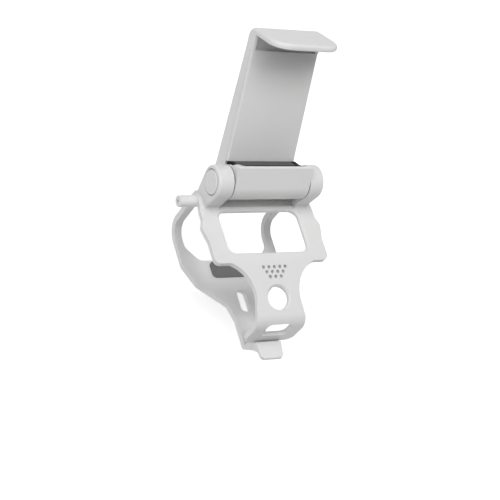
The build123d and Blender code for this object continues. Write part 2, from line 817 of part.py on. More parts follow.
with BuildPart() as arm_cover:
    with BuildSketch(front_plane.offset(cover_back)):
        Polygon(
            (-half_width_at(arm_foot), arm_foot),
            (half_width_at(arm_foot), arm_foot),
            (half_width_at(cover_top), cover_top),
            (-half_width_at(cover_top), cover_top),
            align=None,
        )
    extrude(amount=cover_thickness)
    cover_sides = arm_cover.faces().sort_by(out_axis)[-1].edges()
    cover_sides = cover_sides.filter_by(lambda edge: abs((edge % 0.5).dot(Vector(up_arm))) > 0.9)
    fillet(cover_sides, radius=cover_edge)
    for height in (guide_post_height, head_post_height):
        with BuildSketch(front_plane.offset(cover_back)):
            with Locations((0, height)):
                Circle(screw_radius + press_gap)
        extrude(amount=cover_thickness - 0.6, mode=Mode.SUBTRACT)
save(arm_cover.part, "arm_cover")

with BuildPart() as arm_screws:
    for height, seat in screw_places:
        with BuildSketch(front_plane.offset(seat)):
            with Locations((0, height)):
                Circle(screw_radius)
        extrude(amount=cover_back + cover_thickness - 0.7 - seat)
        with BuildSketch(front_plane.offset(seat)):
            with Locations((0, height)):
                Circle(screw_head_radius)
        extrude(amount=-screw_head_height)
save(arm_screws.part, "arm_screws")

with BuildPart() as spring_bar:
    with BuildSketch(side_plane):
        with Locations((spring_w, spring_head)):
            Circle(anchor_radius)
    extrude(amount=spring_x + 4.5, both=True)
    with BuildSketch(side_plane):
        with Locations((spring_w, spring_head)):
            Circle(anchor_radius + 0.1)
    extrude(amount=guide_post_radius + 0.1, both=True, mode=Mode.SUBTRACT)
save(spring_bar.part, "spring_bar")

with BuildPart() as jaw_pad:
    with BuildSketch(level_plane.offset(jaw_underside + jaw_pad_seat)) as jaw_pad_outline:
        with Locations((0, -jaw_front + jaw_pad_inset)):
            Rectangle(
                2 * (head_half_width - jaw_pad_inset),
                jaw_front - jaw_pad_inset - arm_front - 0.4,
                align=(Align.CENTER, Align.MIN),
            )
        fillet(jaw_pad_outline.vertices().group_by(Axis.Y)[0], radius=jaw_corner - jaw_pad_inset)
    extrude(amount=-jaw_pad_thickness)
save(jaw_pad.part, "jaw_pad")

# Rear bracket: a bent strap, cut to a fork with a tongue and a thumb tab
inner_back = bracket_back + bracket_wall
latch_front = chin_front - tab_root_gap
latch_top = chin_bottom - 0.4

with BuildPart() as rear_bracket:
    with BuildSketch(Plane.YZ) as strap:
        Polygon(
            (pin_y, pin_z + bracket_wall / 2),
            (bracket_top, pin_z + bracket_wall / 2),
            (bracket_top, bracket_back),
            (chin_front + 2, bracket_back),
            (chin_front - 2.4, bracket_back + 8),
            (chin_front - 5.2, tab_top - tab_thickness),
            (tab_end, tab_top - tab_thickness),
            (tab_end, tab_top),
            (latch_front, tab_top),
            (latch_front, latch_top),
            (chin_front + plate_wall, latch_top),
            (chin_front + plate_wall + 0.4, inner_back),
            (bracket_top - bracket_wall, inner_back),
            (bracket_top - bracket_wall, pin_z - bracket_wall / 2),
            (pin_y, pin_z - bracket_wall / 2),
            align=None,
        )
        outer_corners = strap.vertices().group_by(Axis.X)[-1].sort_by(Axis.Y)
        fillet(outer_corners[0], radius=bracket_back_corner)
        outer_corners = strap.vertices().group_by(Axis.X)[-1].sort_by(Axis.Y)
        fillet(outer_corners[-1], radius=bracket_top_corner)
        inner_corners = strap.vertices().filter_by_position(
            Axis.X, bracket_top - bracket_wall - 0.01, bracket_top - bracket_wall + 0.01
        )
        fillet(inner_corners.sort_by(Axis.Y)[0], radius=bracket_back_corner - bracket_wall)
        inner_corners = strap.vertices().filter_by_position(
            Axis.X, bracket_top - bracket_wall - 0.01, bracket_top - bracket_wall + 0.01
        )
        fillet(inner_corners.sort_by(Axis.Y)[-1], radius=bracket_top_corner - bracket_wall)
        latch_corners = strap.vertices().filter_by_position(Axis.X, tab_end + 1, chin_front + 2.1)
        latch_corners = latch_corners.filter_by_position(Axis.Y, bracket_back - 1, tab_top - 1)
        fillet(latch_corners.sort_by(Axis.Y)[:3], radius=2.2)
    extrude(amount=knuckle_outer, both=True)
    with BuildSketch(Plane.XY.offset(pin_z + wing_radius + 1)) as fork:
        with BuildLine():
            Polyline(
                (0, fork_web_y),
                (knuckle_inner - 6, fork_web_y),
                (knuckle_inner, fork_arm_y),
                (knuckle_inner, bracket_top + 1),
                (knuckle_outer, bracket_top + 1),
                (knuckle_outer, fork_side_y),
                (knuckle_outer - 5, fork_shoulder_y),
                (tongue_half_width + 2, tongue_root_y),
                (tongue_half_width, tongue_start_y),
                (tongue_half_width, latch_front),
                (tab_half_width, tab_end + 1.2),
                (tab_half_width - 1.2, tab_end),
                (0, tab_end),
            )
            mirror(about=Plane.YZ)
        make_face()
        soft_corners = fork.vertices().filter_by_position(
            Axis.Y, tongue_start_y - 1, fork_arm_y + 1
        )
        fillet(soft_corners, radius=5)
    extrude(amount=bracket_back - 6, mode=Mode.INTERSECT)
    with BuildSketch(Plane.XY.offset(bracket_back - 1)):
        with Locations((0, -19)):
            SlotOverall(12, 5, rotation=90)
    extrude(amount=bracket_wall + 2, mode=Mode.SUBTRACT)
    for side in (1, -1):
        with BuildSketch(Plane.YZ.offset(side * knuckle_inner)):
            with Locations((pin_y, pin_z)):
                Circle(knuckle_radius)
        extrude(amount=side * (knuckle_outer - knuckle_inner))
    with BuildSketch(Plane.YZ):
        with Locations((pin_y, pin_z)):
            Circle(pin_radius + pin_clearance)
    extrude(amount=knuckle_outer, both=True, mode=Mode.SUBTRACT)
    # pockets of the two twist springs, open towards the wings
    for side in (1, -1):
        with BuildSketch(Plane.YZ.offset(side * knuckle_outer)):
            with Locations((pin_y, pin_z)):
                Circle(twist_spring_radius + 0.2)
        extrude(amount=-side * (twist_spring_length + 0.1), mode=Mode.SUBTRACT)
save(rear_bracket.part, "rear_bracket")

pin_inner_end = knuckle_inner - knuckle_gap - 1.5
pins = ((-1, wing_end_left, "bracket_pin_left"), (1, wing_end_right, "bracket_pin_right"))
for side, wing_end, name in pins:
    with BuildPart() as bracket_pin:
        with BuildSketch(Plane.YZ.offset(side * pin_inner_end)):
            with Locations((pin_y, pin_z)):
                Circle(pin_radius)
        extrude(amount=side * (wing_end - 0.6 - pin_inner_end))
    save(bracket_pin.part, name)

for side, name in ((-1, "twist_spring_left"), (1, "twist_spring_right")):
    with BuildPart() as twist_spring:
        with BuildSketch(Plane.YZ.offset(side * (knuckle_outer - 0.05))):
            with Locations((pin_y, pin_z)):
                Circle(twist_spring_radius)
                Circle(twist_spring_radius - spring_wire, mode=Mode.SUBTRACT)
        extrude(amount=-side * (twist_spring_length - 0.05))
    save(twist_spring.part, name)

# Soft strips
with BuildPart() as face_strips:
    with BuildSketch(Plane.XY.offset(-plate_wall)):
        with Locations((-strip_x, 0), (strip_x, 0)):
            RectangleRounded(strip_width, strip_length, 1.5)
    extrude(amount=-strip_thickness)
save(face_strips.part, "face_strips")

with BuildPart() as back_pad:
    with BuildSketch(Plane.XY.offset(inner_back)):
        with Locations((0, back_pad_y)):
            RectangleRounded(back_pad_width, back_pad_length, 2.5)
    extrude(amount=strip_thickness)
save(back_pad.part, "back_pad")
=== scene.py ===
import math

import bmesh
import bpy
import numpy as np
from mathutils import Matrix, Vector


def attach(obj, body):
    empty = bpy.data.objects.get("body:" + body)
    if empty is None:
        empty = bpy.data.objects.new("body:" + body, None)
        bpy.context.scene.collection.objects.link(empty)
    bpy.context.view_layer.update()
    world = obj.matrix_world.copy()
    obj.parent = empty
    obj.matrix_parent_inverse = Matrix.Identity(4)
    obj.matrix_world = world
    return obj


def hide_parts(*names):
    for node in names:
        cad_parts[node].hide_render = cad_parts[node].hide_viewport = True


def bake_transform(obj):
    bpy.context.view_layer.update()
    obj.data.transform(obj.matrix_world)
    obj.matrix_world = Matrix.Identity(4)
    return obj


# A white phone clip, dressed for its render. Lengths are metres; mm() turns millimetres into them.


def mm(*values):
    scaled = np.array(values, float) / 1000
    return float(scaled[0]) if len(values) == 1 else scaled


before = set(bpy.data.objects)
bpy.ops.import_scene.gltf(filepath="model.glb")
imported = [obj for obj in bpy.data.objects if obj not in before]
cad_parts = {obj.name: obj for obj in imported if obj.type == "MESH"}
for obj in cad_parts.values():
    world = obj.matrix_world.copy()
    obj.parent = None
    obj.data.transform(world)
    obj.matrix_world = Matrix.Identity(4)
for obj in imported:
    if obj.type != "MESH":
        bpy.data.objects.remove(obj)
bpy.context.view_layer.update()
print("frame:", len(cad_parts), "nodes")

# the holder leans back; up runs along its arm, out points away from the arm's front
holder = {"hinge": mm(0, 19.5, 12.5), "lean": 56.0}
leanAngle = math.radians(holder["lean"])
sideways = np.array((1.0, 0.0, 0.0))
upArm = np.array((0.0, math.cos(leanAngle), math.sin(leanAngle)))
outOfArm = np.array((0.0, -math.sin(leanAngle), math.cos(leanAngle)))


def armPoints(x, up, out):
    # hinge point + x * sideways + up * upArm + out * outOfArm, for whole arrays of millimetres
    x, up, out = np.broadcast_arrays(x, up, out)
    local = np.stack((x, up, out), axis=-1) / 1000
    return holder["hinge"] + local @ np.stack((sideways, upArm, outOfArm))


# Shader groups that more than one material uses

def newGroup(name, inputs, outputs):
    group = bpy.data.node_groups.new(name, "ShaderNodeTree")
    for socketName, kind, value in inputs:
        socket = group.interface.new_socket(socketName, in_out="INPUT", socket_type=kind)
        socket.default_value = value
    for socketName, kind in outputs:
        group.interface.new_socket(socketName, in_out="OUTPUT", socket_type=kind)
    start = group.nodes.new("NodeGroupInput")
    end = group.nodes.new("NodeGroupOutput")
    return group, start, end


def mixValues(tree, factor, low, high):
    mix = tree.nodes.new("ShaderNodeMix")
    mix.data_type = "FLOAT"
    for socket, value in zip((mix.inputs[0], mix.inputs[2], mix.inputs[3]), (factor, low, high)):
        if isinstance(value, bpy.types.NodeSocket):
            tree.links.new(value, socket)
        else:
            socket.default_value = value
    return mix.outputs[0]


def noiseAt(tree, scale, detail):
    coordinates = tree.nodes.new("ShaderNodeTexCoord")
    noise = tree.nodes.new("ShaderNodeTexNoise")
    noise.inputs["Detail"].default_value = detail
    noise.inputs["Roughness"].default_value = 0.55
    tree.links.new(coordinates.outputs["Object"], noise.inputs["Vector"])
    if isinstance(scale, bpy.types.NodeSocket):
        tree.links.new(scale, noise.inputs["Scale"])
    else:
        noise.inputs["Scale"].default_value = scale
    return noise.outputs["Fac"]


def makeMouldGrain():
    # fine spark-eroded texture of a mould: a small noise for height, a larger one for gloss and shade
    group, start, end = newGroup(
        "mouldGrain",
        (
            ("Grains per Metre", "NodeSocketFloat", 5200.0),
            ("Grain Depth", "NodeSocketFloat", 0.12),
            ("Patches per Metre", "NodeSocketFloat", 90.0),
            ("Gloss Low", "NodeSocketFloat", 0.36),
            ("Gloss High", "NodeSocketFloat", 0.48),
        ),
        (
            ("Normal", "NodeSocketVector"),
            ("Roughness", "NodeSocketFloat"),
            ("Patches", "NodeSocketFloat"),
        ),
    )
    grain = noiseAt(group, start.outputs["Grains per Metre"], 2.0)
    patches = noiseAt(group, start.outputs["Patches per Metre"], 4.0)
    bump = group.nodes.new("ShaderNodeBump")
    bump.inputs["Distance"].default_value = mm(0.03)
    group.links.new(start.outputs["Grain Depth"], bump.inputs["Strength"])
    group.links.new(grain, bump.inputs["Height"])
    roughness = mixValues(group, patches, start.outputs["Gloss Low"], start.outputs["Gloss High"])
    group.links.new(bump.outputs["Normal"], end.inputs["Normal"])
    group.links.new(roughness, end.inputs["Roughness"])
    group.links.new(patches, end.inputs["Patches"])
    return group


def makeCornerShadeAndDust():
    # tints narrow corners, found by ambient occlusion and broken up by a noise: on the white plastic this is
    # painted shade, on the black rubber pale dust
    group, start, end = newGroup(
        "cornerShadeAndDust",
        (
            ("Reach", "NodeSocketFloat", mm(1.2)),
            ("Amount", "NodeSocketFloat", 0.3),
            ("Plain Tone", "NodeSocketColor", (0.8, 0.8, 0.8, 1)),
            ("Shade and Dust Tone", "NodeSocketColor", (0.6, 0.6, 0.58, 1)),
        ),
        (("Color", "NodeSocketColor"),),
    )
    corner = group.nodes.new("ShaderNodeAmbientOcclusion")
    corner.samples = 8
    group.links.new(start.outputs["Reach"], corner.inputs["Distance"])
    turned = group.nodes.new("ShaderNodeMath")
    turned.operation = "SUBTRACT"
    turned.inputs[0].default_value = 1.0
    group.links.new(corner.outputs["AO"], turned.inputs[1])
    broken = group.nodes.new("ShaderNodeMath")
    broken.operation = "MULTIPLY"
    group.links.new(turned.outputs[0], broken.inputs[0])
    group.links.new(noiseAt(group, 700.0, 3.0), broken.inputs[1])
    share = group.nodes.new("ShaderNodeMath")
    share.operation = "MULTIPLY"
    group.links.new(broken.outputs[0], share.inputs[0])
    group.links.new(start.outputs["Amount"], share.inputs[1])
    mix = group.nodes.new("ShaderNodeMix")
    mix.data_type = "RGBA"
    group.links.new(share.outputs[0], mix.inputs[0])
    group.links.new(start.outputs["Plain Tone"], mix.inputs[6])
    group.links.new(start.outputs["Shade and Dust Tone"], mix.inputs[7])
    group.links.new(mix.outputs[2], end.inputs["Color"])
    return group


mouldGrain = makeMouldGrain()
cornerShadeAndDust = makeCornerShadeAndDust()


def newMaterial(name, shader):
    material = bpy.data.materials.new(name)
    material.use_nodes = True
    tree = material.node_tree
    principled = tree.nodes["Principled BSDF"]
    for socketName, value in shader.items():
        principled.inputs[socketName].default_value = value
    return material, tree, principled


def useGroup(tree, group, values):
    node = tree.nodes.new("ShaderNodeGroup")
    node.node_tree = group
    for socketName, value in values.items():
        node.inputs[socketName].default_value = value
    return node


def grainyMaterial(name, shader, grain, shades, shadeAndDust):
    # two near shades mixed by the large patches, with a corner tint (painted shade on the white plastic, pale
    # dust on the black rubber) and the mould's grain
    material, tree, principled = newMaterial(name, shader)
    surface = useGroup(tree, mouldGrain, grain)
    tint = tree.nodes.new("ShaderNodeMix")
    tint.data_type = "RGBA"
    tint.inputs[6].default_value = (*shades["low"], 1)
    tint.inputs[7].default_value = (*shades["high"], 1)
    tree.links.new(surface.outputs["Patches"], tint.inputs[0])
    corners = useGroup(tree, cornerShadeAndDust, {"Shade and Dust Tone": (*shades["shadeAndDustTone"], 1), **shadeAndDust})
    tree.links.new(tint.outputs[2], corners.inputs["Plain Tone"])
    tree.links.new(corners.outputs["Color"], principled.inputs["Base Color"])
    tree.links.new(surface.outputs["Roughness"], principled.inputs["Roughness"])
    tree.links.new(surface.outputs["Normal"], principled.inputs["Normal"])
    return material


# on the white plastic, the corner tone and reach below paint shade into narrow corners
plasticLook = {
    "shader": {"IOR": 1.47, "Specular IOR Level": 0.42},
    "grain": {"Grains per Metre": 5200.0, "Grain Depth": 0.10, "Gloss Low": 0.36, "Gloss High": 0.46},
    "shades": {"low": (0.80, 0.80, 0.795), "high": (0.83, 0.83, 0.828), "shadeAndDustTone": (0.42, 0.40, 0.395)},
    "shadeAndDust": {"Amount": 0.6, "Reach": mm(2.6)},
}
# the faceplate gets more painted shade, in its trough under the barrel
plateTroughShade = {"Amount": 1.0, "Reach": mm(5.0)}
# on the black rubber, the lighter corner tone below is pale dust
rubberLook = {
    "shader": {"IOR": 1.52, "Specular IOR Level": 0.07},
    "grain": {"Grains per Metre": 3800.0, "Grain Depth": 0.35, "Gloss Low": 0.55, "Gloss High": 0.75},
    "shades": {"low": (0.007, 0.007, 0.008), "high": (0.012, 0.012, 0.013), "shadeAndDustTone": (0.03, 0.03, 0.03)},
    "shadeAndDust": {"Amount": 0.3, "Reach": mm(0.8)},
}
padLook = {
    # the pad's floor: a lighter grey for wear and for painted sheen
    "wornAndSheen": (0.10, 0.10, 0.103, 1),
    "smooth": 0.5,
    # distances out of the hinge's axis, and sideways from the middle
    "front": (-1.5, -0.9),
    "side": (15.2, 16.4),
}
whitePlastic = grainyMaterial("whitePlastic", **plasticLook)
platePlastic = grainyMaterial("platePlastic", **{**plasticLook, "shadeAndDust": plateTroughShade})
blackRubber = grainyMaterial("blackRubber", **rubberLook)


def fadeAlong(tree, direction, edge, start=0.0):
    # falls from 1 to 0 between the edge's two distances from start, along a direction;
    # with start 0 it does so on both sides of the middle
    coordinates = tree.nodes.new("ShaderNodeTexCoord")
    reach = tree.nodes.new("ShaderNodeVectorMath")
    reach.operation = "DOT_PRODUCT"
    reach.inputs[1].default_value = direction
    tree.links.new(coordinates.outputs["Object"], reach.inputs[0])
    distance = tree.nodes.new("ShaderNodeMath")
    distance.operation = "ABSOLUTE" if start == 0 else "SUBTRACT"
    distance.inputs[1].default_value = start
    tree.links.new(reach.outputs["Value"], distance.inputs[0])
    share = tree.nodes.new("ShaderNodeMapRange")
    share.inputs["From Min"].default_value = mm(edge[0])
    share.inputs["From Max"].default_value = mm(edge[1])
    share.inputs["To Min"].default_value = 1.0
    share.inputs["To Max"].default_value = 0.0
    tree.links.new(distance.outputs[0], share.inputs["Value"])
    return share.outputs[0]


def makeWornAndSheenRubber(look):
    # the floor of the pad is painted a lighter grey and made smooth, for wear from phones and for painted
    # sheen, while its lip stays black as painted shadow at the rim
    material = grainyMaterial("wornAndSheenRubber", **rubberLook)
    tree = material.node_tree
    principled = tree.nodes["Principled BSDF"]
    share = tree.nodes.new("ShaderNodeMath")
    share.operation = "MULTIPLY"
    hingeReach = float(holder["hinge"] @ outOfArm)
    tree.links.new(fadeAlong(tree, outOfArm, look["front"], hingeReach), share.inputs[0])
    tree.links.new(fadeAlong(tree, sideways, look["side"]), share.inputs[1])
    tint = tree.nodes.new("ShaderNodeMix")
    tint.data_type = "RGBA"
    tint.inputs[7].default_value = look["wornAndSheen"]
    tree.links.new(share.outputs[0], tint.inputs[0])
    tree.links.new(principled.inputs["Base Color"].links[0].from_socket, tint.inputs[6])
    tree.links.new(tint.outputs[2], principled.inputs["Base Color"])
    freshGloss = principled.inputs["Roughness"].links[0].from_socket
    gloss = mixValues(tree, share.outputs[0], freshGloss, look["smooth"])
    tree.links.new(gloss, principled.inputs["Roughness"])
    return material


wornAndSheenRubber = makeWornAndSheenRubber(padLook)

foamLook = {
    "cellsPerMetre": 3000.0,
    "low": (0.13, 0.13, 0.133, 1),
    "high": (0.25, 0.25, 0.253, 1),
    "gloss": (0.78, 0.95),
    "pits": {"Strength": 0.5, "Distance": mm(0.08)},
}


def makeFoam(look):
    # closed cells: a cell pattern gives the pits, and paints shade into them, so each pit is darker than the
    # walls between them
    material, tree, principled = newMaterial("greyFoam", {"IOR": 1.4, "Specular IOR Level": 0.2})
    coordinates = tree.nodes.new("ShaderNodeTexCoord")
    cells = tree.nodes.new("ShaderNodeTexVoronoi")
    cells.inputs["Scale"].default_value = look["cellsPerMetre"]
    tree.links.new(coordinates.outputs["Object"], cells.inputs["Vector"])
    tint = tree.nodes.new("ShaderNodeMix")
    tint.data_type = "RGBA"
    tint.inputs[6].default_value = look["low"]
    tint.inputs[7].default_value = look["high"]
    tree.links.new(cells.outputs["Distance"], tint.inputs[0])
    bump = tree.nodes.new("ShaderNodeBump")
    for socketName, value in look["pits"].items():
        bump.inputs[socketName].default_value = value
    tree.links.new(cells.outputs["Distance"], bump.inputs["Height"])
    tree.links.new(tint.outputs[2], principled.inputs["Base Color"])
    tree.links.new(mixValues(tree, cells.outputs["Distance"], *look["gloss"]), principled.inputs["Roughness"])
    tree.links.new(bump.outputs["Normal"], principled.inputs["Normal"])
    return material


steelLook = {
    "streaks": (260.0, 2600.0, 2600.0),
    "low": (0.50, 0.50, 0.51, 1),
    "high": (0.66, 0.66, 0.67, 1),
    "gloss": (0.22, 0.42),
}


def makeSteel(look):
    # drawn wire and turned screws: a noise stretched along x gives the fine streaks
    material, tree, principled = newMaterial("zincSteel", {"Metallic": 1.0})
    coordinates = tree.nodes.new("ShaderNodeTexCoord")
    stretch = tree.nodes.new("ShaderNodeMapping")
    stretch.inputs["Scale"].default_value = look["streaks"]
    streaks = tree.nodes.new("ShaderNodeTexNoise")
    streaks.inputs["Scale"].default_value = 1.0
    streaks.inputs["Detail"].default_value = 4.0
    tree.links.new(coordinates.outputs["Object"], stretch.inputs["Vector"])
    tree.links.new(stretch.outputs["Vector"], streaks.inputs["Vector"])
    tint = tree.nodes.new("ShaderNodeMix")
    tint.data_type = "RGBA"
    tint.inputs[6].default_value = look["low"]
    tint.inputs[7].default_value = look["high"]
    tree.links.new(streaks.outputs["Fac"], tint.inputs[0])
    tree.links.new(tint.outputs[2], principled.inputs["Base Color"])
    tree.links.new(mixValues(tree, streaks.outputs["Fac"], *look["gloss"]), principled.inputs["Roughness"])
    return material


greyFoam = makeFoam(foamLook)
zincSteel = makeSteel(steelLook)
finishes = {
    "white_plastic": whitePlastic,
    "black_rubber": blackRubber,
    "grey_foam": greyFoam,
    "steel": zincSteel,
}
# pieces with a material of their own, in the same slot
ownMaterials = {"facePlate": platePlastic, "shelfPad": wornAndSheenRubber}
print("materials:", len(finishes) + len(ownMaterials))


# Meshes

def newPiece(name, points, faces, finish, body):
    mesh = bpy.data.meshes.new(name)
    mesh.from_pydata(points, [], faces)
    mesh.materials.append(finishes[finish])
    mesh.update()
    mesh.polygons.foreach_set("use_smooth", np.ones(len(mesh.polygons), bool))
    piece = bpy.data.objects.new(name, mesh)
    bpy.context.scene.collection.objects.link(piece)
    if body:
        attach(piece, body)
    return piece


def turnOutward(piece):
    skin = bmesh.new()
    skin.from_mesh(piece.data)
    bmesh.ops.recalc_face_normals(skin, faces=skin.faces)
    skin.to_mesh(piece.data)
    skin.free()


def creaseSharp(piece):
    # edges sharper than the angle keep a hard shade
    piece.data.set_sharp_from_angle(angle=math.radians(32.0))


def gridFaces(rows, columns, closeRows=False, closeColumns=False):
    # quads of a grid whose point (row, column) has the number row * columns + column
    numbers = np.arange(rows * columns).reshape(rows, columns)
    if closeRows:
        numbers = np.vstack((numbers, numbers[:1]))
    if closeColumns:
        numbers = np.hstack((numbers, numbers[:, :1]))
    corners = (numbers[:-1, :-1], numbers[:-1, 1:], numbers[1:, 1:], numbers[1:, :-1])
    return np.stack([corner.ravel() for corner in corners], axis=1)


def ringStack(radii, heights, origin, axis, across):
    # point = origin + height * axis + radius * (cos t * across + sin t * third), t round the axis;
    # radii and heights are grids of millimetres (rings, turns), closed by a pole at each end
    radii, heights = np.broadcast_arrays(np.array(radii, float), np.array(heights, float))
    rings, turns = radii.shape
    angles = np.linspace(0, 2 * math.pi, turns, endpoint=False)
    third = np.cross(axis, across)
    spokes = np.cos(angles)[:, None] * across + np.sin(angles)[:, None] * third
    points = origin + (heights[..., None] * axis + radii[..., None] * spokes[None]) / 1000
    poles = origin + heights[(0, -1), :].mean(axis=1)[:, None] * axis / 1000
    faces = gridFaces(rings, turns, closeColumns=True).tolist()
    around = np.arange(turns)
    after = np.roll(around, -1)
    last = (rings - 1) * turns
    faces += np.stack((after, around, np.full(turns, rings * turns)), axis=1).tolist()
    faces += np.stack((last + around, last + after, np.full(turns, rings * turns + 1)), axis=1).tolist()
    return np.vstack((points.reshape(-1, 3), poles)), faces


def sweptWire(path, guide, radius, sides):
    # wire point = path + radius * (cos a * n + sin a * b), where n is the guide made square to the path
    tangents = np.gradient(path, axis=0)
    tangents /= np.linalg.norm(tangents, axis=1, keepdims=True)
    normals = guide - tangents * np.sum(guide * tangents, axis=1, keepdims=True)
    normals /= np.linalg.norm(normals, axis=1, keepdims=True)
    seconds = np.cross(tangents, normals)
    angles = np.linspace(0, 2 * math.pi, sides, endpoint=False)
    cosines = np.cos(angles)[None, :, None]
    sines = np.sin(angles)[None, :, None]
    ring = cosines * normals[:, None] + sines * seconds[:, None]
    points = (path[:, None] + radius * ring).reshape(-1, 3)
    faces = gridFaces(len(path), sides, closeColumns=True).tolist()
    faces.append(list(range(sides))[::-1])
    faces.append(list(range((len(path) - 1) * sides, len(path) * sides)))
    return points, faces


# Moulded pieces: the CAD shape with its corners welded and every sharp edge rounded over

mouldings = {
    "facePlate": {"node": "faceplate", "body": "plate", "edge": 0.28, "finish": "white_plastic"},
    "lowerJaw": {"node": "lower_jaw", "body": "holder", "edge": 0.28, "finish": "white_plastic"},
    "stemRail": {"node": "stem", "body": "holder", "edge": 0.2, "finish": "white_plastic"},
    "slidingArm": {"node": "arm", "body": "slider", "edge": 0.28, "finish": "white_plastic"},
    "armCover": {"node": "arm_cover", "body": "slider", "edge": 0.2, "finish": "white_plastic"},
    "rearBracket": {"node": "rear_bracket", "body": "bracket", "edge": 0.45, "finish": "white_plastic"},
    "shelfPad": {"node": "shelf_pad", "body": "holder", "edge": 0.3, "finish": "black_rubber"},
    "jawPad": {"node": "jaw_pad", "body": "slider", "edge": 0.12, "finish": "black_rubber"},
    "faceStrips": {"node": "face_strips", "body": "plate", "edge": 0.3, "finish": "grey_foam"},
    "backPad": {"node": "back_pad", "body": "bracket", "edge": 0.3, "finish": "grey_foam"},
    "hingeBolt": {"node": "hinge_bolt", "body": "plate", "edge": 0.2, "finish": "steel"},
    "hingeNut": {"node": "hinge_nut", "body": "plate", "edge": 0.2, "finish": "steel"},
    "bracketPinLeft": {"node": "bracket_pin_left", "body": "plate", "edge": 0.15, "finish": "steel"},
    "bracketPinRight": {"node": "bracket_pin_right", "body": "plate", "edge": 0.15, "finish": "steel"},
    "springBar": {"node": "spring_bar", "body": "slider", "edge": 0.15, "finish": "steel"},
    "anchorLeft": {"node": "spring_anchor_left", "body": "holder", "edge": 0.15, "finish": "steel"},
    "anchorRight": {"node": "spring_anchor_right", "body": "holder", "edge": 0.15, "finish": "steel"},
}
roundingLook = {"segments": 3, "sharpAngle": 28.0, "weld": 0.0005, "flatAngle": 0.4, "flatWeight": 60}


def weldedMesh(node, look):
    # loose triangles become one skin: equal rounded points share a number, flat neighbours become one face
    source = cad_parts[node].data
    points = np.empty(len(source.vertices) * 3)
    source.vertices.foreach_get("co", points)
    points = points.reshape(-1, 3)
    source.calc_loop_triangles()
    triangles = np.empty(len(source.loop_triangles) * 3, int)
    source.loop_triangles.foreach_get("vertices", triangles)
    keys = np.round(points / mm(look["weld"])).astype(np.int64)
    unique, first, number = np.unique(keys, axis=0, return_index=True, return_inverse=True)
    triangles = number.ravel()[triangles].reshape(-1, 3)
    proper = (triangles != np.roll(triangles, 1, axis=1)).all(axis=1)
    mesh = bpy.data.meshes.new(node + "_welded")
    mesh.from_pydata(points[first], [], triangles[proper].tolist())
    skin = bmesh.new()
    skin.from_mesh(mesh)
    bmesh.ops.dissolve_limit(
        skin, angle_limit=math.radians(look["flatAngle"]), verts=skin.verts, edges=skin.edges)
    skin.to_mesh(mesh)
    skin.free()
    return mesh


def makeMoulding(name, parts, look):
    mesh = weldedMesh(parts["node"], look)
    mesh.name = name
    mesh.materials.append(finishes[parts["finish"]])
    mesh.polygons.foreach_set("use_smooth", np.ones(len(mesh.polygons), bool))
    piece = bpy.data.objects.new(name, mesh)
    bpy.context.scene.collection.objects.link(piece)
    rounding = piece.modifiers.new("rounding", "BEVEL")
    rounding.width = mm(parts["edge"])
    rounding.segments = look["segments"]
    rounding.limit_method = "ANGLE"
    rounding.angle_limit = math.radians(look["sharpAngle"])
    rounding.use_clamp_overlap = True
    rounding.miter_outer = "MITER_ARC"
    rounding.harden_normals = False
    weighted = piece.modifiers.new("flatFaces", "WEIGHTED_NORMAL")
    weighted.mode = "FACE_AREA"
    weighted.weight = look["flatWeight"]
    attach(piece, parts["body"])
    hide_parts(parts["node"])
    return piece


for pieceName, pieceParts in mouldings.items():
    makeMoulding(pieceName, pieceParts, roundingLook)
for pieceName, material in ownMaterials.items():
    bpy.data.objects[pieceName].data.materials[0] = material
print("mouldings:", len(mouldings))

# Hinge caps: a crowned disc with a rounded rim, in the seat of each ear

capLook = {
    "radius": 5.95, "middle": 0.4, "crown": 0.22, "rim": 0.55, "foot": 0.15,
    "seat": 27.6, "face": 29.2, "turns": 96,
}


def makeCap(name, node, side, look):
    # ring radius and height: up the side, round the rim by a quarter circle, then in over the crown
    bend = np.linspace(0, math.pi / 2, 7)
    inner = np.linspace(look["radius"] - look["rim"], look["middle"], 9)
    crown = look["crown"] * (1 - (inner / inner[0]) ** 2)
    radii = np.concatenate((
        (look["middle"], look["radius"] - look["foot"], look["radius"]),
        look["radius"] - look["rim"] * (1 - np.cos(bend)),
        inner[1:],
    ))
    heights = np.concatenate((
        (look["seat"], look["seat"], look["seat"] + look["foot"]),
        look["face"] - look["rim"] * (1 - np.sin(bend)),
        look["face"] + crown[1:],
    ))
    origin = holder["hinge"]
    grid = np.ones((1, look["turns"]))
    points, faces = ringStack(
        radii[:, None] * grid, heights[:, None] * grid, origin, side * sideways, np.array((0.0, 1.0, 0.0)))
    piece = newPiece(name, points, faces, "white_plastic", "plate")
    turnOutward(piece)
    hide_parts(node)


makeCap("hingeCapLeft", "hinge_cap_left", -1, capLook)
makeCap("hingeCapRight", "hinge_cap_right", 1, capLook)
print("hinge caps")

# Friction washers: black flat rings that fill the gap beside each ear, and stand in for the shade in that gap

washerLook = {"bore": 2.06, "radius": 7.75, "from": 20.5, "to": 21.0, "edge": 0.08, "turns": 96}


def makeWasher(name, node, side, look):
    # ring radius and height round a closed profile with four cut corners, turned about the hinge
    low, high, edge = look["from"], look["to"], look["edge"]
    inner, outer = look["bore"], look["radius"]
    radii = np.array((inner, inner + edge, outer - edge, outer, outer, outer - edge, inner + edge, inner))
    heights = np.array((low + edge, low, low, low + edge, high - edge, high, high, high - edge))
    angles = np.linspace(0, 2 * math.pi, look["turns"], endpoint=False)
    ring = np.stack((0 * angles, np.cos(angles), np.sin(angles)), axis=1)
    points = radii[:, None, None] * ring[None] + side * heights[:, None, None] * sideways
    faces = gridFaces(len(radii), look["turns"], closeRows=True, closeColumns=True).tolist()
    piece = newPiece(name, (holder["hinge"] + points / 1000).reshape(-1, 3), faces, "black_rubber", "plate")
    turnOutward(piece)
    creaseSharp(piece)
    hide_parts(node)


makeWasher("washerLeft", "friction_washer_left", -1, washerLook)
makeWasher("washerRight", "friction_washer_right", 1, washerLook)
print("washers")

# Screws: a threaded shank and a pan head with a cross recess

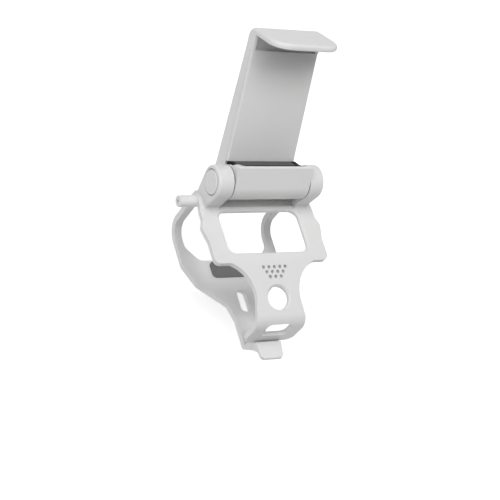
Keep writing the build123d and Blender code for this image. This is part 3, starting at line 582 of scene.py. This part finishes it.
# recess depths come with the share of the cross that is left there
screwLook = {
    "turns": 48, "tip": 0.6, "tipShare": 0.3, "threadPitch": 0.55, "threadSteps": 6, "threadDepth": 0.12,
    "headFoot": 0.05, "headRound": 0.45, "recessWide": 0.2, "recessLong": 0.62,
    "recess": ((0.0, 1.06), (0.06, 1.0), (0.75, 0.72), (0.85, 0.1)),
}
screwSets = {
    "armScrews": {
        "node": "arm_screws", "body": "slider", "head": 1.9, "headHeight": 1.3, "shank": 1.0,
        "places": ((0.0, 24.0, -14.4, 7.1), (0.0, 60.1, -12.33, 5.03)),
    },
    "stemScrews": {
        "node": "stem_screws", "body": "holder", "head": 1.3, "headHeight": 1.3, "shank": 0.8,
        "places": ((-6.0, -1.0, -13.83, 4.4), (6.0, -1.0, -13.83, 4.4)),
    },
}


def crossOutline(angles, half, long):
    # distance from the middle to the rim of two crossed bars, each 2 * long by 2 * half
    near = np.maximum(np.abs(np.cos(angles)), 1e-6)
    side = np.maximum(np.abs(np.sin(angles)), 1e-6)
    return np.maximum(np.minimum(long / near, half / side), np.minimum(half / near, long / side))


def screwShape(parts, length, look):
    # rings from the tip: cone, thread (depth follows height / pitch - turn), head, recess and its floor
    angles = np.linspace(0, 2 * math.pi, look["turns"], endpoint=False)
    level = np.ones(look["turns"])
    pitch = look["threadPitch"]
    thread = np.arange(look["tip"], length, pitch / look["threadSteps"])[:, None]
    wave = (thread / pitch - angles[None] / (2 * math.pi)) % 1
    depth = look["threadDepth"] * (1 - np.abs(2 * wave - 1))
    head = parts["head"]
    top = parts["headHeight"]
    edge = look["headRound"]
    bend = np.linspace(0, math.pi / 2, 6)[:, None]
    cross = crossOutline(angles, look["recessWide"] * head, look["recessLong"] * head)
    sunk, shares = np.array(look["recess"]).T[..., None]
    radii = np.vstack((
        look["tipShare"] * parts["shank"] * level,
        parts["shank"] - depth,
        parts["shank"] * level,
        (head - look["headFoot"]) * level,
        (head - edge * (1 - np.cos(bend))) * level,
        cross * shares,
    ))
    heights = np.vstack((
        length * level,
        (length - thread) * level,
        0 * level,
        0 * level,
        -(top - edge * (1 - np.sin(bend))) * level,
        -(top - sunk) * level,
    ))
    return radii, heights


def makeScrews(name, parts, look):
    points = []
    faces = []
    count = 0
    for x, up, out, length in parts["places"]:
        radii, heights = screwShape(parts, length, look)
        origin = armPoints(x, up, out)
        some, these = ringStack(radii, heights, origin, outOfArm, sideways)
        points.append(some)
        faces += [[number + count for number in face] for face in these]
        count += len(some)
    piece = newPiece(name, np.vstack(points), faces, "steel", parts["body"])
    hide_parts(parts["node"])
    turnOutward(piece)
    creaseSharp(piece)


for screwName, screwParts in screwSets.items():
    makeScrews(screwName, screwParts, screwLook)
print("screws:", len(screwSets))

# Springs: open coils of wire, with a loop round each anchor

pullSpring = {
    "foot": 14.0, "head": 59.6, "out": -10.58, "loop": 1.15, "loopStart": 40, "loopSteps": 26,
    "coil": 1.2, "wire": 0.2, "sides": 7, "turns": 46, "steps": 14, "endTurns": 0.6, "held": 1.3,
}
pullSprings = {
    "springLeft": {"node": "spring_left", "x": -9.0},
    "springRight": {"node": "spring_right", "x": 9.0},
}
twistSpring = {
    "pin": (18.8, -3.0), "from": 25.2, "to": 27.35,
    "coil": 1.32, "wire": 0.2, "sides": 7, "turns": 5, "steps": 20,
}
twistSprings = {
    "twistSpringLeft": {"node": "twist_spring_left", "side": -1},
    "twistSpringRight": {"node": "twist_spring_right", "side": 1},
}


def pullSpringPath(look, x):
    # lower loop, coil whose radius swells in and out over its end turns, upper loop
    foot, head, loop = look["foot"], look["head"], look["loop"]
    bend = np.linspace(math.radians(look["loopStart"]), 2 * math.pi, look["loopSteps"])
    low = np.stack((0 * bend, foot + loop * np.cos(bend), loop * np.sin(bend)), axis=1)
    turn = np.linspace(0, look["turns"], look["turns"] * look["steps"])
    swell = np.clip(np.minimum(turn, look["turns"] - turn) / look["endTurns"], 0, 1)
    reach = look["coil"] * swell * swell * (3 - 2 * swell)
    inset = loop + look["wire"] * 0.5
    height = np.interp(turn, (0, look["turns"]), (foot + inset, head - inset))
    spin = 2 * math.pi * turn
    coil = np.stack((reach * np.cos(spin), height, reach * np.sin(spin)), axis=1)
    high = np.stack((0 * bend, head - loop * np.cos(bend), loop * np.sin(bend)), axis=1)[::-1]
    local = np.vstack((low, coil, high))
    flat = np.zeros((len(bend), 3)) + (1.0, 0.0, 0.0)
    radial = np.stack((np.cos(spin), 0 * spin, np.sin(spin)), axis=1)
    guide = np.vstack((flat, radial, flat)) @ np.stack((sideways, upArm, outOfArm))
    return armPoints(x + local[:, 0], local[:, 1], look["out"] + local[:, 2]), guide


for springName, springParts in pullSprings.items():
    springMesh = sweptWire(
        *pullSpringPath(pullSpring, springParts["x"]), mm(pullSpring["wire"]), pullSpring["sides"])
    spring = newPiece(springName, *springMesh, "steel", None)
    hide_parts(springParts["node"])
    turnOutward(spring)
    tuple(armPoints(springParts["x"], pullSpring["foot"] + pullSpring["held"], pullSpring["out"]))
    tuple(armPoints(springParts["x"], pullSpring["head"] - pullSpring["held"], pullSpring["out"]))
    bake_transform(spring)

for springName, springParts in twistSprings.items():
    # coil point = pin + coil * (cos s, sin s) in y and z, moving out along x with s
    coilTurn = np.linspace(0, twistSpring["turns"], twistSpring["turns"] * twistSpring["steps"])
    coilSpin = 2 * math.pi * coilTurn
    coilAcross = np.interp(coilTurn, (0, twistSpring["turns"]), (twistSpring["from"], twistSpring["to"]))
    coilRound = np.stack((0 * coilSpin, np.cos(coilSpin), np.sin(coilSpin)), axis=1)
    coilPath = twistSpring["coil"] * coilRound + (0.0, *twistSpring["pin"])
    coilPath[:, 0] = springParts["side"] * coilAcross
    springMesh = sweptWire(coilPath / 1000, coilRound, mm(twistSpring["wire"]), twistSpring["sides"])
    spring = newPiece(springName, *springMesh, "steel", "bracket")
    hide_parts(springParts["node"])
    turnOutward(spring)
print("springs:", len(pullSprings) + len(twistSprings))

# Stage, camera and light

# the floor lies just under the lowest reach of the rear bracket when it swings open; far off, where
# the lamps don't reach, its own glow takes over, from lift to far over the fade's distances in metres
stageLook = {
    "floor": -64.6,
    "size": 6000.0,
    "colour": (0.86, 0.86, 0.86, 1),
    "lift": 0.62,
    "far": 1.0,
    "fade": (0.35, 1.6),
}
cameraLook = {
    "place": (-0.3376, -0.2747, 0.4819),
    "right": (0.85933, -0.27410, 0.43177),
    "up": (0.02795, 0.86817, 0.49551),
    "back": (-0.51067, -0.41373, 0.75370),
    "lens": 98.43,
    "sensor": 36.0,
    "clip": (0.01, 50.0),
}
lampLook = {
    "overhead": {"from": (-0.45, 0.0, 1.0), "size": 0.9, "power": 6.3},
    "spot": {"from": (0.0, -0.1, 1.1), "size": 0.4, "power": 3.5},
    "left": {"from": (-0.95, -0.15, 0.45), "size": 0.8, "power": 1.5},
    "right": {"from": (0.95, -0.25, 0.35), "size": 0.8, "power": 1.3},
}
worldStrength = 0.11


def seenRays(tree):
    # 1 for camera, mirror and glass rays, 0 for the rays that light the object
    path = tree.nodes.new("ShaderNodeLightPath")
    seen = tree.nodes.new("ShaderNodeMath")
    seen.operation = "MAXIMUM"
    through = tree.nodes.new("ShaderNodeMath")
    through.operation = "MAXIMUM"
    tree.links.new(path.outputs["Is Camera Ray"], seen.inputs[0])
    tree.links.new(path.outputs["Is Glossy Ray"], seen.inputs[1])
    tree.links.new(seen.outputs[0], through.inputs[0])
    tree.links.new(path.outputs["Is Transmission Ray"], through.inputs[1])
    return through.outputs[0]


def makeWorld():
    world = bpy.data.worlds.new("studio")
    bpy.context.scene.world = world
    world.use_nodes = True
    tree = world.node_tree
    background = tree.nodes["Background"]
    background.inputs["Color"].default_value = (1, 1, 1, 1)
    tree.links.new(mixValues(tree, seenRays(tree), worldStrength, 1.0), background.inputs["Strength"])


def makeFloor(look):
    half = mm(look["size"]) / 2
    height = mm(look["floor"])
    corners = [(x * half, y * half, height) for x, y in ((-1, -1), (1, -1), (1, 1), (-1, 1))]
    mesh = bpy.data.meshes.new("floor")
    mesh.from_pydata(corners, [], [(0, 1, 2, 3)])
    material, tree, principled = newMaterial("paleFloor", {"Roughness": 0.9, "Specular IOR Level": 0.0})
    principled.inputs["Base Color"].default_value = look["colour"]
    principled.inputs["Emission Color"].default_value = (1, 1, 1, 1)
    coordinates = tree.nodes.new("ShaderNodeTexCoord")
    distance = tree.nodes.new("ShaderNodeVectorMath")
    distance.operation = "LENGTH"
    tree.links.new(coordinates.outputs["Object"], distance.inputs[0])
    glow = tree.nodes.new("ShaderNodeMapRange")
    glow.interpolation_type = "SMOOTHSTEP"
    glow.inputs["From Min"].default_value, glow.inputs["From Max"].default_value = look["fade"]
    glow.inputs["To Min"].default_value = look["lift"]
    glow.inputs["To Max"].default_value = look["far"]
    tree.links.new(distance.outputs["Value"], glow.inputs["Value"])
    strength = mixValues(tree, seenRays(tree), 0.0, glow.outputs[0])
    tree.links.new(strength, principled.inputs["Emission Strength"])
    mesh.materials.append(material)
    floor = bpy.data.objects.new("floor", mesh)
    bpy.context.scene.collection.objects.link(floor)


def makeLamps(lamps):
    for name, look in lamps.items():
        data = bpy.data.lights.new(name, "AREA")
        data.size = look["size"]
        data.energy = look["power"]
        lamp = bpy.data.objects.new(name, data)
        bpy.context.scene.collection.objects.link(lamp)
        lamp.location = Vector(look["from"])
        lamp.rotation_euler = (-Vector(look["from"])).to_track_quat("-Z", "Y").to_euler()


def makeCamera(look):
    data = bpy.data.cameras.new("camera")
    data.lens = look["lens"]
    data.sensor_width = look["sensor"]
    data.clip_start, data.clip_end = look["clip"]
    camera = bpy.data.objects.new("camera", data)
    bpy.context.scene.collection.objects.link(camera)
    turn = Matrix((look["right"], look["up"], look["back"])).transposed()
    camera.matrix_world = Matrix.Translation(look["place"]) @ turn.to_4x4()
    bpy.context.scene.camera = camera


makeWorld()
makeFloor(stageLook)
makeLamps(lampLook)
makeCamera(cameraLook)
bpy.context.scene.view_settings.view_transform = "Standard"
print("stage, lamps and camera are set")
